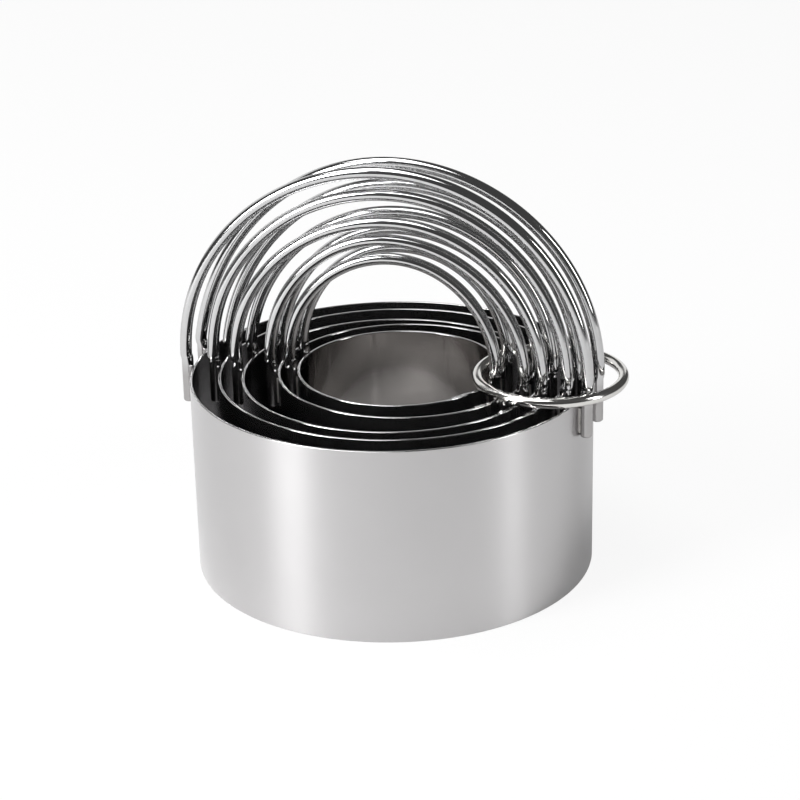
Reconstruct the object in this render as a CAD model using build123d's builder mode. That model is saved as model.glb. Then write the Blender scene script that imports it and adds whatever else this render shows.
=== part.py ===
from build123d import *
import math
import os

os.makedirs("parts", exist_ok=True)

# Five nested round cutters, each a steel band with two wire handles, and a hinged ring that
# holds the handles together. Lengths in mm. The largest cutter stands on z = 0 with its axis
# on the Z axis, and the handles run along X, so the front is towards -Y.

# The bands, largest first
cutter_radius = [50.8, 44.55, 38.3, 32.05, 25.8]
cutter_height = 50.0
sheet = 0.7
# where each band's axis lies in the loose nest
nest_x = [0.0, 0.7, 0.9, 2.8, 1.1]
nest_y = [0.0, 0.7, -0.9, 2.2, 3.0]
# each band is rolled from strip and its ends lap: the angle of the end that lies outside
seam_angle = [162.0, -23.0, -25.0, -33.0, -33.0]
lap_length = 4.2
joggle_length = 3.4

# The handles: two wires a cutter, bent to an arch and welded to the outside of the band
wire = 3.0
leg_below_rim = 9.5
cut_end_radius = 0.5
bend_above_rim = 3.4
bend_offset = 0.3
arch_rise = [50.6, 44.8, 38.0, 33.2, 27.7]
# how far the top of each arch lies to the right of its middle
arch_shift = [1.5, 1.5, 2.0, -1.1, 0.7]
# the rear wires are bent less evenly: they stand a little lower, and their left legs lean inwards,
# as if the ellipse of that side had its middle this far below the leg's end
rear_lower = 0.3
rear_dip = [12.0, 11.0, 6.0, 4.0, 3.0]
# how far apart the two wires of a handle stand at each end, and their middle from the axis
left_spacing = 12.2
right_spacing = 10.2
handle_y = [-2.4, -1.8, -1.0, -2.8, -1.4]
# the two wires of a handle lean towards each other, in degrees
wire_lean = 0.8
weld_width = 2.0
weld_depth = 0.9
weld_length = 6.5

# The ring round the right-hand legs of all ten wires
ring_wire = 2.7
ring_radius = 18.1
ring_x = 40.5
ring_y = 2.0
ring_gap = 0.4
# the eye lies a little outside the wire's middle line; its leaves are the wire's two halves
hinge_angle = -113.5
hinge_out = 0.4
eye_diameter = 3.8
eye_gap = 0.06
leaf_bottom = 1.1
leaf_room = 0.12
pin_diameter = 1.1
pin_head_diameter = 1.9
pin_head_height = 0.5
pin_clearance = 0.08
clasp_lap = 14.0
clasp_gap = 0.06

# Sizes that follow from these
ring_z = cutter_height + ring_gap + ring_wire / 2
clasp_angle = hinge_angle + 180
hinge_x = ring_x + (ring_radius + hinge_out) * math.cos(math.radians(hinge_angle))
hinge_y = ring_y + (ring_radius + hinge_out) * math.sin(math.radians(hinge_angle))


def polar(radius, angle):
    return (radius * math.cos(math.radians(angle)), radius * math.sin(math.radians(angle)))


def leg_x(number, across):
    """How far out a leg stands that touches the band at this distance from its middle."""
    return math.sqrt((cutter_radius[number] + wire / 2) ** 2 - across**2)


def rim_bend(lean):
    """Outwards, then back to the arch's lean: the middle and the height of the two bends."""
    turn = math.acos((1 + math.cos(lean) - bend_offset / wire) / 2)
    middle = (wire * (1 - math.cos(turn)), wire * math.sin(turn))
    return middle, 2 * middle[1] + wire * math.sin(lean)


# The cutters, one after the other
for number in range(5):
    radius = cutter_radius[number]
    inner = radius - sheet
    seam = seam_angle[number]
    lap = math.degrees(lap_length / radius)
    joggle = math.degrees(joggle_length / radius)
    nest = (nest_x[number], nest_y[number], 0)

    # The band: a strip rolled round, with its inner end tucked under the outer one
    with BuildPart() as band:
        with BuildSketch(Plane(origin=nest)):
            with BuildLine():
                CenterArc((0, 0), radius, seam + joggle, 360 - joggle)
                Line(polar(radius, seam), polar(inner, seam))
                Line(polar(inner, seam), polar(radius, seam + joggle))
            make_face()
            with BuildLine():
                CenterArc((0, 0), inner, seam + joggle, 360 - joggle - lap)
                Line(polar(inner, seam - lap), polar(inner - sheet, seam - lap))
                CenterArc((0, 0), inner - sheet, seam - lap, lap)
                Line(polar(inner - sheet, seam), polar(inner, seam + joggle))
            make_face(mode=Mode.SUBTRACT)
        extrude(amount=cutter_height)
    band.part.label = "band_" + str(number + 1)
    export_step(band.part, "parts/" + band.part.label + ".step")

    # The two handle wires: legs up the band, a small bend outwards at the rim, then the arch
    wires = []
    feet = []
    for place, way in (("front", -1), ("rear", 1)):
        left_y = handle_y[number] + way * left_spacing / 2
        right_y = handle_y[number] + way * right_spacing / 2
        left = (-leg_x(number, left_y), left_y)
        right = (leg_x(number, right_y), right_y)
        feet += [left, right]
        reach = math.dist(left, right) / 2
        along = ((right[0] - left[0]) / (2 * reach), (right[1] - left[1]) / (2 * reach))
        middle_x = nest_x[number] + (left[0] + right[0]) / 2
        middle_y = nest_y[number] + (left[1] + right[1]) / 2
        flat = Plane((middle_x, middle_y, cutter_height), (*along, 0), (along[1], -along[0], 0))
        upright = flat.rotated((way * wire_lean, 0, 0))

        dip = rear_dip[number] if place == "rear" else 0
        rise = arch_rise[number] - (rear_lower if place == "rear" else 0)
        shift = arch_shift[number]
        foot = reach + bend_offset
        # the right half starts upright, the left half with its leg's lean
        start = math.asin(dip / (rise + dip))
        left_radius = (foot + shift) / math.cos(start)
        lean = math.atan(left_radius * math.tan(start) / (rise + dip))
        (right_out, right_up), right_height = rim_bend(0)
        (left_out, left_up), left_height = rim_bend(lean)
        right_start = bend_above_rim - right_height
        left_start = bend_above_rim - left_height
        right_bend = (reach + right_out, right_start + right_up)
        left_bend = (-reach - left_out, left_start + left_up)
        with BuildPart() as bent:
            with BuildLine(upright):
                leg = Line((reach, -leg_below_rim), (reach, right_start))
                RadiusArc((reach, right_start), right_bend, wire)
                RadiusArc(right_bend, (foot, bend_above_rim), -wire)
                EllipticalCenterArc((shift, bend_above_rim), foot - shift, rise, arc_size=90)
                left_middle = (shift, bend_above_rim - dip)
                sweep_left = 90 - math.degrees(start)
                EllipticalCenterArc(left_middle, left_radius, rise + dip, 90, arc_size=sweep_left)
                RadiusArc((-foot, bend_above_rim), left_bend, -wire)
                RadiusArc(left_bend, (-reach, left_start), wire)
                Line((-reach, left_start), (-reach, -leg_below_rim))
            with BuildSketch(Plane(origin=leg @ 0, z_dir=leg % 0)):
                Circle(wire / 2)
            sweep()
            fillet(bent.edges().filter_by(GeomType.CIRCLE).group_by(Axis.Z)[0], cut_end_radius)
        bent.part.label = place + "_wire_" + str(number + 1)
        export_step(bent.part, "parts/" + bent.part.label + ".step")
        wires.append(bent.part)

    # The welds: metal drawn into the corners between each leg and the band
    with BuildPart() as welds:
        for foot_x, foot_y in feet:
            angle = math.degrees(math.atan2(foot_y, foot_x))
            contact_x, contact_y = polar(radius, angle)
            middle = cutter_height - leg_below_rim / 2 - 0.5
            spot = (nest_x[number] + contact_x, nest_y[number] + contact_y, middle)
            with Locations(Location(spot, (0, 0, angle))):
                Box(weld_depth, weld_width, weld_length)
        add(band.part, mode=Mode.SUBTRACT)
        add(wires, mode=Mode.SUBTRACT)
    welds.part.label = "welds_" + str(number + 1)
    export_step(welds.part, "parts/" + welds.part.label + ".step")

# The ring's eye: the wire's end rounded about the pin, before it is halved into two leaves
with BuildPart() as eye:
    with BuildLine(Plane((ring_x, ring_y, ring_z))) as curve:
        CenterArc((0, 0), ring_radius, hinge_angle - 12, 24)
    with BuildSketch(Plane(origin=curve.line @ 0, z_dir=curve.line % 0)):
        Circle(ring_wire / 2)
    sweep()
    with BuildSketch(Plane((hinge_x, hinge_y, ring_z - ring_wire))):
        Circle(eye_diameter / 2)
    extrude(amount=2 * ring_wire, mode=Mode.INTERSECT)

# The fixed half of the ring, the front one, with the eye's upper leaf and the clasp's lower half
clasp_half = clasp_lap / 2
with BuildPart() as ring_fixed:
    with BuildLine(Plane((ring_x, ring_y, ring_z))) as curve:
        CenterArc((0, 0), ring_radius, hinge_angle, 180 + clasp_half)
    with BuildSketch(Plane(origin=curve.line @ 0, z_dir=curve.line % 0)):
        Circle(ring_wire / 2)
    sweep()
    add(eye.part)
    # room for the other half's leaf
    with BuildSketch(Plane((hinge_x, hinge_y, ring_z - ring_wire))):
        Circle(eye_diameter / 2 + leaf_room)
    extrude(amount=ring_wire + eye_gap / 2, mode=Mode.SUBTRACT)
    # the clasp's lower half
    with BuildSketch(Plane((ring_x, ring_y, ring_z - clasp_gap / 2))):
        with BuildLine():
            low = CenterArc((0, 0), ring_radius - 3, clasp_angle - clasp_half, clasp_lap + 6)
            high = CenterArc((0, 0), ring_radius + 3, clasp_angle - clasp_half, clasp_lap + 6)
            Line(low @ 0, high @ 0)
            Line(low @ 1, high @ 1)
        make_face()
    extrude(amount=ring_wire, mode=Mode.SUBTRACT)
    # the pin's seat
    with BuildSketch(Plane((hinge_x, hinge_y, ring_z - ring_wire))):
        Circle(pin_diameter / 2)
    extrude(amount=2 * ring_wire, mode=Mode.SUBTRACT)
ring_fixed.part.label = "ring_fixed_half"
export_step(ring_fixed.part, "parts/ring_fixed_half.step")

# The half that opens, with the lower leaf, which is flattened and stands out beside the wire
with BuildPart() as ring_gate:
    with BuildLine(Plane((ring_x, ring_y, ring_z))) as curve:
        CenterArc((0, 0), ring_radius, clasp_angle - clasp_half, 180 + clasp_half)
    with BuildSketch(Plane(origin=curve.line @ 0, z_dir=curve.line % 0)):
        Circle(ring_wire / 2)
    sweep()
    add(eye.part)
    with BuildSketch(Plane((hinge_x, hinge_y, ring_z - leaf_bottom))):
        Circle(eye_diameter / 2)
    extrude(amount=leaf_bottom)
    with BuildSketch(Plane((hinge_x, hinge_y, ring_z - eye_gap / 2))):
        Circle(eye_diameter / 2 + leaf_room)
    extrude(amount=ring_wire, mode=Mode.SUBTRACT)
    with BuildSketch(Plane((ring_x, ring_y, ring_z - ring_wire))):
        with BuildLine():
            low = CenterArc((0, 0), ring_radius - 3, clasp_angle - clasp_half - 6, clasp_lap + 6)
            high = CenterArc((0, 0), ring_radius + 3, clasp_angle - clasp_half - 6, clasp_lap + 6)
            Line(low @ 0, high @ 0)
            Line(low @ 1, high @ 1)
        make_face()
    extrude(amount=ring_wire + clasp_gap / 2, mode=Mode.SUBTRACT)
    # the pin's hole, widened at the bottom for its head
    with BuildSketch(Plane((hinge_x, hinge_y, ring_z - ring_wire))):
        Circle(pin_diameter / 2 + pin_clearance)
    extrude(amount=2 * ring_wire, mode=Mode.SUBTRACT)
    with BuildSketch(Plane((hinge_x, hinge_y, ring_z - ring_wire))):
        Circle(pin_head_diameter / 2 + pin_clearance)
    head_room = ring_wire / 2 + pin_head_height + pin_clearance
    extrude(amount=head_room, mode=Mode.SUBTRACT)
ring_gate.part.label = "ring_gate_half"
export_step(ring_gate.part, "parts/ring_gate_half.step")

# The pin: fast in the upper leaf and flush with it, with a flat head sunk in the lower one
with BuildPart() as pin:
    with BuildSketch(Plane((hinge_x, hinge_y, ring_z - ring_wire / 2))):
        Circle(pin_diameter / 2)
    extrude(amount=ring_wire)
    with BuildSketch(Plane((hinge_x, hinge_y, ring_z - ring_wire / 2))):
        Circle(pin_head_diameter / 2)
    extrude(amount=pin_head_height)
    add(eye.part, mode=Mode.INTERSECT)
pin.part.label = "ring_pin"
export_step(pin.part, "parts/ring_pin.step")
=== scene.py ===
import bpy
import math
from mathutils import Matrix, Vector


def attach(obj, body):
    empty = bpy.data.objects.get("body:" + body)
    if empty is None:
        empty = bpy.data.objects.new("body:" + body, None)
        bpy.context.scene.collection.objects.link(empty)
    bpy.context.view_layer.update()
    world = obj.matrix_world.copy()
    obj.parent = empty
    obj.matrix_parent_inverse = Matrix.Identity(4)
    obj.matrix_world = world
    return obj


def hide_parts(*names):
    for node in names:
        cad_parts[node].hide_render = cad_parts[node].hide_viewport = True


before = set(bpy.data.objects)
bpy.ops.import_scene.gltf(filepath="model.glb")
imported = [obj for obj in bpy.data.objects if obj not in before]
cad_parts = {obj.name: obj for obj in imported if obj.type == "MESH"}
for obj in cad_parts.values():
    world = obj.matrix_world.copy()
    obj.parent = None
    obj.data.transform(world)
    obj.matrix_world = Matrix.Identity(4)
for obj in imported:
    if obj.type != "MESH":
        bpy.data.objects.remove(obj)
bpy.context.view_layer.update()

# The bands
# Each cutter is a strip of stainless sheet rolled round, with its inner end joggled in under
# the outer one and the lap spot welded. Both edges are plain, with the burr rubbed off. The
# largest is satin outside.

band_height = 0.0500
sheet = 0.0007
rubbed_edge = 0.00016
lap = 0.0042
joggle = 0.0034
lap_steps = 3
joggle_steps = 6
round_steps = 220
# outer radius, place of the axis in the loose nest, and angle of the outer end of the strip
bands = {
    1: (0.05080, 0.0000, 0.0000, 162),
    2: (0.04455, 0.0007, 0.0007, -23),
    3: (0.03830, 0.0009, -0.0009, -25),
    4: (0.03205, 0.0028, 0.0022, -33),
    5: (0.02580, 0.0011, 0.0030, -33),
}


class Amount:
    """A number on its way through a finish, so that finishes can be written as sums."""

    def __init__(self, finish, socket):
        self.finish = finish
        self.socket = socket

    def sum(self, operation, *terms):
        return self.finish.node("ShaderNodeMath", {"operation": operation}, dict(enumerate(terms)))

    def __add__(self, other):
        return self.sum("ADD", self, other)

    def __sub__(self, other):
        return self.sum("SUBTRACT", self, other)

    def __rsub__(self, other):
        return self.sum("SUBTRACT", other, self)

    def __mul__(self, other):
        return self.sum("MULTIPLY", self, other)

    __radd__ = __add__
    __rmul__ = __mul__

    def clear(self, low, high):
        """0 below low, 1 above high, and a soft step between."""
        settings = {"interpolation_type": "SMOOTHSTEP"}
        return self.finish.node("ShaderNodeMapRange", settings, {0: self, 1: low, 2: high})


class Finish:
    """A finish: one material, or the air of the room, and the nodes that vary it."""

    def __init__(self, name, room=None):
        self.material = room or bpy.data.materials.new(name)
        self.material.use_nodes = True
        self.tree = self.material.node_tree
        self.tree.nodes.clear()
        self.output = self.tree.nodes.new("ShaderNodeOutput" + ("World" if room else "Material"))

    def node(self, kind, settings, values, result=0):
        made = self.tree.nodes.new(kind)
        for name, value in settings.items():
            setattr(made, name, value)
        for name, value in values.items():
            if isinstance(value, Amount):
                self.tree.links.new(value.socket, made.inputs[name])
            else:
                made.inputs[name].default_value = value
        return Amount(self, made.outputs[result])

    def place(self, stretch=(1, 1, 1), middle=(0, 0, 0)):
        """Where a point is on the object, in metres, stretched so many times each way."""
        spot = self.node("ShaderNodeTexCoord", {}, {}, "Object")
        shift = tuple(-m * s for m, s in zip(middle, stretch))
        values = {"Vector": spot, "Location": shift, "Scale": stretch}
        return self.node("ShaderNodeMapping", {}, values)

    def noise(self, where, scale, detail):
        values = {"Vector": where, "Scale": scale, "Detail": detail}
        return self.node("ShaderNodeTexNoise", {}, values, "Fac")

    def mix(self, share, first, second):
        settings = {"data_type": "RGBA"}
        colours = [c if isinstance(c, Amount) else (*c, 1) for c in (first, second)]
        return self.node("ShaderNodeMix", settings, {0: share, 6: colours[0], 7: colours[1]}, 2)

    def bump(self, height, strength, depth):
        values = {"Strength": strength, "Distance": depth, "Height": height}
        return self.node("ShaderNodeBump", {}, values)

    def metal(self, **values):
        """The metal itself, joined to the output."""
        shader = self.node("ShaderNodeBsdfPrincipled", {}, {"Metallic": 1.0, **values})
        self.tree.links.new(shader.socket, self.output.inputs["Surface"])
        return self.material


# darkest and palest metal, roughness, and pull of the grain
bright_side = ((0.60, 0.595, 0.60), (0.66, 0.655, 0.66), 0.10, 0.0)
# the same for the outside (1) of the largest and the inside (-1) of the smallest
grained_side = {
    1: (1, (0.52, 0.512, 0.515), (0.57, 0.562, 0.565), 0.26, 0.85),
    5: (-1, (0.58, 0.565, 0.555), (0.64, 0.625, 0.615), 0.045, 0.3),
}


def strip_steel(name, middle, dark, pale, rough, smear):
    """Stainless strip with fine lines along it, from bright to satin."""
    finish = Finish(name)
    lines = finish.noise(finish.place((1, 1, 60), middle), 130, 4)
    patches = finish.noise(finish.place(middle=middle), 45, 2)
    return finish.metal(
        **{
            "Base Color": finish.mix(patches, dark, pale),
            "Roughness": rough + patches * 0.03 + lines * 0.03,
            "Normal": finish.bump(lines * 0.6 + patches * 0.4, 0.08, 0.00003),
            "Anisotropic": smear,
            "Anisotropic Rotation": 0.25,
        }
    )


def roll_band(number):
    radius, x, y, seam = bands[number]
    tail = math.radians(seam) - lap / radius
    inside = radius - sheet * 1.5
    bpy.ops.object.select_all(action="DESELECT")
    spot = (x + inside * math.cos(tail), y + inside * math.sin(tail), band_height / 2)
    bpy.ops.mesh.primitive_plane_add(size=1, location=spot, rotation=(math.pi / 2, 0, tail))
    band = bpy.context.object
    band.name = "rolled_band_" + str(number)
    band.scale = (sheet, band_height, 1)
    bpy.ops.object.transform_apply(location=True, rotation=True, scale=True)
    bpy.ops.object.mode_set(mode="EDIT")
    bpy.ops.mesh.select_all(action="SELECT")
    bpy.ops.mesh.bevel(offset=rubbed_edge, segments=3, affect="VERTICES")

    def roll(angle, steps):
        bpy.ops.mesh.spin(steps=steps, angle=-angle, center=(x, y, 0), axis=(0, 0, 1))

    # the tail under the lap, then the joggle out to the full radius, then all the way round
    roll(lap / radius, lap_steps)
    out = 0
    for step in range(1, joggle_steps + 1):
        share = step / joggle_steps
        roll(joggle / radius / joggle_steps, 1)
        turned = tail + (lap + joggle * share) / radius
        move = sheet * share * share * (3 - 2 * share) - out
        bpy.ops.transform.translate(value=(move * math.cos(turned), move * math.sin(turned), 0))
        out += move
    roll(2 * math.pi - joggle / radius, round_steps)
    bpy.ops.mesh.select_all(action="SELECT")
    bpy.ops.mesh.normals_make_consistent(inside=False)
    bpy.ops.object.mode_set(mode="OBJECT")
    bpy.ops.object.shade_smooth_by_angle(angle=math.radians(40))
    # the walls stay straight up to the rubbed edges
    bpy.ops.object.modifier_add(type="WEIGHTED_NORMAL")
    band.modifiers[0].keep_sharp = True
    bpy.ops.object.modifier_apply(modifier=band.modifiers[0].name)
    middle = (x, y, 0)
    band.data.materials.append(strip_steel("bright_strip_" + str(number), middle, *bright_side))
    if number in grained_side:
        way, *look = grained_side[number]
        band.data.materials.append(strip_steel("satin_strip_" + str(number), middle, *look))
        for face in band.data.polygons:
            outwards = face.normal.dot(face.center - Vector((x, y, face.center.z)))
            face.material_index = 1 if outwards * way > 0.9 * (radius - sheet) else 0
    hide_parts("band_" + str(number))
    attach(band, "cutter_" + str(number))


for number in bands:
    roll_band(number)

# The handle wires
# Two lengths of bright drawn wire a cutter. Each has a straight leg up the outside of the band,
# a small set outwards just over the rim, and a plain arch from side to side. The rear ones are
# bent less evenly, and their left legs lean inwards.

wire = 0.0030
leg_below_rim = 0.0095
set_height = 0.0034
set_out = 0.0003
set_radius = wire
# rise of the arch over its feet, how far its top lies to the right, how far the middle of the
# handle stands from the axis, and how far the rear arch's left side is let down
handles = {
    1: (0.0506, 0.0015, -0.0024, 0.0120),
    2: (0.0448, 0.0015, -0.0018, 0.0110),
    3: (0.0380, 0.0020, -0.0010, 0.0060),
    4: (0.0332, -0.0011, -0.0028, 0.0040),
    5: (0.0277, 0.0007, -0.0014, 0.0030),
}
rear_lower = 0.0003
left_spacing = 0.0122
right_spacing = 0.0102
wire_lean = 0.8
cut_end_radius = 0.0005
wire_sides = 28
arch_steps = 52
bend_steps = 5


def bright_wire(number):
    """Polished drawn wire, a little dulled where it was welded to the band, with painted shade
    darkening its legs below the rim.
    """
    finish = Finish("bright_wire_" + str(number))
    spots = finish.noise(finish.place(), 900, 3)
    waves = finish.noise(finish.place(), 160, 2)
    up = finish.node("ShaderNodeSeparateXYZ", {}, {"Vector": finish.place()}, "Z")
    # below the rim the legs are rougher from the weld, and their colour is darkened as painted
    # shade of the gaps between the bands
    weld_dulling_and_painted_shade = 1 - up.clear(band_height - 0.003, band_height + 0.003)
    bright = finish.mix(spots, (0.50, 0.50, 0.505), (0.58, 0.58, 0.58))
    return finish.metal(
        **{
            # painted shade: below the rim the colour is mixed 60% towards dark grey, standing in
            # for the shade down in the gaps
            "Base Color": finish.mix(weld_dulling_and_painted_shade * 0.6, bright, (0.28, 0.265, 0.26)),
            "Roughness": 0.07 + spots * 0.05 + weld_dulling_and_painted_shade * 0.10,
            "Normal": finish.bump(waves * 0.8 + spots * 0.2, 0.15, 0.00008),
        }
    )


def set_outwards(lean):
    """The two small bends from a leg to the arch: way out, way up, and heading outwards."""
    turn = math.acos((1 + math.cos(lean) - set_out / set_radius) / 2)
    shares = [step / bend_steps for step in range(1, bend_steps + 1)]
    bends = [(turn * share, 1) for share in shares]
    bends += [(turn - (turn + lean) * share, -1) for share in shares]
    places = []
    for heading, way in bends:
        out = set_radius * (1 - math.cos(heading))
        up = set_radius * math.sin(heading)
        if way < 0:
            out = set_radius * (1 + math.cos(heading) - 2 * math.cos(turn))
            up = set_radius * (2 * math.sin(turn) - math.sin(heading))
        places.append((out, up, heading))
    return places


def bend_wire(number, side):
    radius, x, y = bands[number][:3]
    rise, shift, middle, dip = handles[number]
    way = {"front": -1, "rear": 1}[side]
    dip = dip if side == "rear" else 0
    rise = rise - (rear_lower if side == "rear" else 0)
    left_y = middle + way * left_spacing / 2
    right_y = middle + way * right_spacing / 2
    left = Vector((-math.sqrt((radius + wire / 2) ** 2 - left_y**2), left_y, 0))
    right = Vector((math.sqrt((radius + wire / 2) ** 2 - right_y**2), right_y, 0))
    reach = (right - left).length / 2
    foot = reach + set_out

    # the middle line, from the right leg's end to the left one's: across, up, and the heading,
    # which is 0 upwards and grows to the left
    start = math.asin(dip / (rise + dip))
    left_radius = (foot + shift) / math.cos(start)
    lean = math.atan(left_radius * math.tan(start) / (rise + dip))
    line = [(reach, -leg_below_rim, 0), (reach, set_height - set_outwards(0)[-1][1], 0)]
    line += [(reach + out, line[1][1] + up, -heading) for out, up, heading in set_outwards(0)]
    for step in range(1, arch_steps + 1):
        turned = math.pi / 2 * step / arch_steps
        over = (foot - shift) * math.cos(turned)
        heading = math.atan2((foot - shift) * math.sin(turned), rise * math.cos(turned))
        line.append((shift + over, set_height + rise * math.sin(turned), heading))
    for step in range(1, arch_steps + 1):
        turned = math.pi / 2 + (math.pi / 2 - start) * step / arch_steps
        over = left_radius * math.cos(turned)
        heading = math.atan2(left_radius * math.sin(turned), (rise + dip) * math.cos(turned))
        line.append((shift + over, set_height - dip + (rise + dip) * math.sin(turned), heading))
    left_start = set_height - set_outwards(lean)[-1][1]
    for out, up, heading in reversed(set_outwards(lean)[:-1]):
        line.append((-reach - out, left_start + up, math.pi + heading))
    line += [(-reach, left_start, math.pi), (-reach, -leg_below_rim, math.pi)]

    bpy.ops.object.select_all(action="DESELECT")
    bpy.ops.mesh.primitive_circle_add(
        vertices=wire_sides, radius=wire / 2, fill_type="NGON", location=(reach, 0, -leg_below_rim)
    )
    bent = bpy.context.object
    bent.name = side + "_handle_wire_" + str(number)
    bpy.ops.object.transform_apply(location=True, rotation=True, scale=True)
    bpy.ops.object.mode_set(mode="EDIT")
    bpy.ops.mesh.select_all(action="SELECT")
    for here, there in zip(line, line[1:]):
        step = (there[0] - here[0], 0, there[1] - here[1])
        bpy.ops.mesh.extrude_region_move(TRANSFORM_OT_translate={"value": step})
        turned = there[2] - here[2]
        if turned:
            spot = (there[0], 0, there[1])
            bpy.ops.transform.rotate(value=turned, orient_axis="Y", center_override=spot)
    bpy.ops.mesh.select_all(action="SELECT")
    bpy.ops.mesh.normals_make_consistent(inside=False)
    bpy.ops.mesh.select_mode(type="EDGE")
    bpy.ops.mesh.select_all(action="DESELECT")
    bpy.ops.object.mode_set(mode="OBJECT")
    # the cut ends are rounded off
    for edge in bent.data.edges:
        ends = [bent.data.vertices[v].co for v in edge.vertices]
        edge.select = all(abs(end.z + leg_below_rim) < 1e-6 for end in ends)
    bpy.ops.object.mode_set(mode="EDIT")
    bpy.ops.mesh.bevel(offset=cut_end_radius, segments=3, affect="EDGES")
    bpy.ops.object.mode_set(mode="OBJECT")
    bpy.ops.object.shade_smooth_by_angle(angle=math.radians(40))
    bent.location = Vector((x, y, band_height)) + (left + right) / 2
    along = right - left
    bent.rotation_euler = (way * math.radians(wire_lean), 0, math.atan2(along.y, along.x))
    bpy.ops.object.transform_apply(location=True, rotation=True, scale=True)
    bent.data.materials.append(bright[number])
    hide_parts(side + "_wire_" + str(number))
    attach(bent, "cutter_" + str(number))


bright = {number: bright_wire(number) for number in handles}
for number in handles:
    bend_wire(number, "front")
    bend_wire(number, "rear")

# The welds
# A resistance weld at each leg, where metal has run into the corners between wire and band.
# They are left as they come, greyer and rougher than the wire.

weld_finish = Finish("weld_metal")
grains = weld_finish.noise(weld_finish.place(), 1500, 4)
weld_metal = weld_finish.metal(
    **{
        "Base Color": weld_finish.mix(grains, (0.42, 0.40, 0.38), (0.70, 0.69, 0.67)),
        "Roughness": 0.32 + grains * 0.2,
        "Normal": weld_finish.bump(grains, 0.5, 0.0001),
    }
)
for number in bands:
    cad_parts["welds_" + str(number)].data.materials[0] = weld_metal

# The keeper ring
# A ring of plated wire in two halves, pinned together at an eye and closing on a half lap. It
# lies on the rims round all the right-hand legs.

ring_finish = Finish("plated_ring")
ring_spots = ring_finish.noise(ring_finish.place(), 700, 3)
ring_waves = ring_finish.noise(ring_finish.place(), 120, 2)
plated = ring_finish.metal(
    **{
        "Base Color": ring_finish.mix(ring_spots, (0.66, 0.65, 0.63), (0.74, 0.73, 0.705)),
        "Roughness": 0.10 + ring_spots * 0.06,
        "Normal": ring_finish.bump(ring_waves, 0.12, 0.00008),
    }
)
for name in ("ring_fixed_half", "ring_gate_half", "ring_pin"):
    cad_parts[name].data.materials[0] = plated

# The stage
# A white table with a low white card behind, whose light shows in the ring and the rims. A tall
# soft lamp stands at the left, a narrow one at the right, a weak one behind and one overhead.

bpy.ops.object.select_all(action="DESELECT")
bpy.ops.mesh.primitive_plane_add(size=6, location=(0, 0, 0))
table = bpy.context.object
table.name = "table"
bpy.ops.mesh.primitive_plane_add(
    size=1, location=(-0.35, 1.15, 0.27), rotation=(math.pi / 2, 0, math.radians(17))
)
card = bpy.context.object
card.name = "white_card"
card.scale = (1.1, 0.5, 1)
bpy.ops.object.transform_apply(location=True, rotation=True, scale=True)
card.visible_camera = False


def white_paper(name, mirrored):
    """Paper that the camera sees as white, and metal nearly so, under the object's shadow."""
    paper = Finish(name)
    seen = paper.node("ShaderNodeLightPath", {}, {}, "Is Camera Ray") * 0.9
    seen = seen + paper.node("ShaderNodeLightPath", {}, {}, "Is Glossy Ray") * mirrored
    lit = paper.node("ShaderNodeBsdfDiffuse", {}, {"Color": (0.80, 0.80, 0.80, 1)})
    glow = paper.node("ShaderNodeEmission", {}, {"Color": (1, 1, 1, 1), "Strength": 1.0})
    blend = paper.node("ShaderNodeMixShader", {}, {0: seen, 1: lit, 2: glow})
    paper.tree.links.new(blend.socket, paper.output.inputs["Surface"])
    return paper.material


table.data.materials.append(white_paper("table_paper", 0.16))
card.data.materials.append(white_paper("card_paper", 0.90))


def lamp(name, place, width, height, power):
    """A soft lamp turned to the middle of the object."""
    bpy.ops.object.light_add(type="AREA", location=place)
    made = bpy.context.object
    made.name = name
    made.data.shape = "RECTANGLE"
    made.data.size = width
    made.data.size_y = height
    made.data.energy = power
    aim = Vector((0, 0, 0.05)) - Vector(place)
    made.rotation_euler = aim.to_track_quat("-Z", "Y").to_euler()


lamp("left_lamp", (-0.66, -0.76, 0.55), 0.40, 0.8, 15)
lamp("back_lamp", (-0.90, 0.55, 0.45), 0.70, 0.7, 1.4)
lamp("top_lamp", (-0.25, -0.15, 1.00), 0.80, 0.5, 7)
lamp("right_lamp", (0.98, -0.11, 0.45), 0.22, 0.7, 4.5)

world = bpy.data.worlds.new("studio")
bpy.context.scene.world = world
room = Finish("room", world)
strength = 0.04 + room.node("ShaderNodeLightPath", {}, {}, "Is Camera Ray") * 0.96
strength = strength + room.node("ShaderNodeLightPath", {}, {}, "Is Glossy Ray") * 0.04
air = room.node("ShaderNodeBackground", {}, {"Color": (1, 1, 1, 1), "Strength": strength})
room.tree.links.new(air.socket, room.output.inputs["Surface"])

# The camera
# A long lens from a little over the rim, turned so that the ring's end of the handles is nearer.

bpy.ops.object.camera_add(location=(0.16203, -0.52337, 0.26930))
camera = bpy.context.object
camera.name = "camera"
camera.rotation_euler = [math.radians(angle) for angle in (67.457, 1.208, 16.498)]
camera.data.lens = 105.42
camera.data.sensor_width = 36
camera.data.clip_start = 0.01
bpy.context.scene.camera = camera
bpy.context.scene.view_settings.view_transform = "Standard"
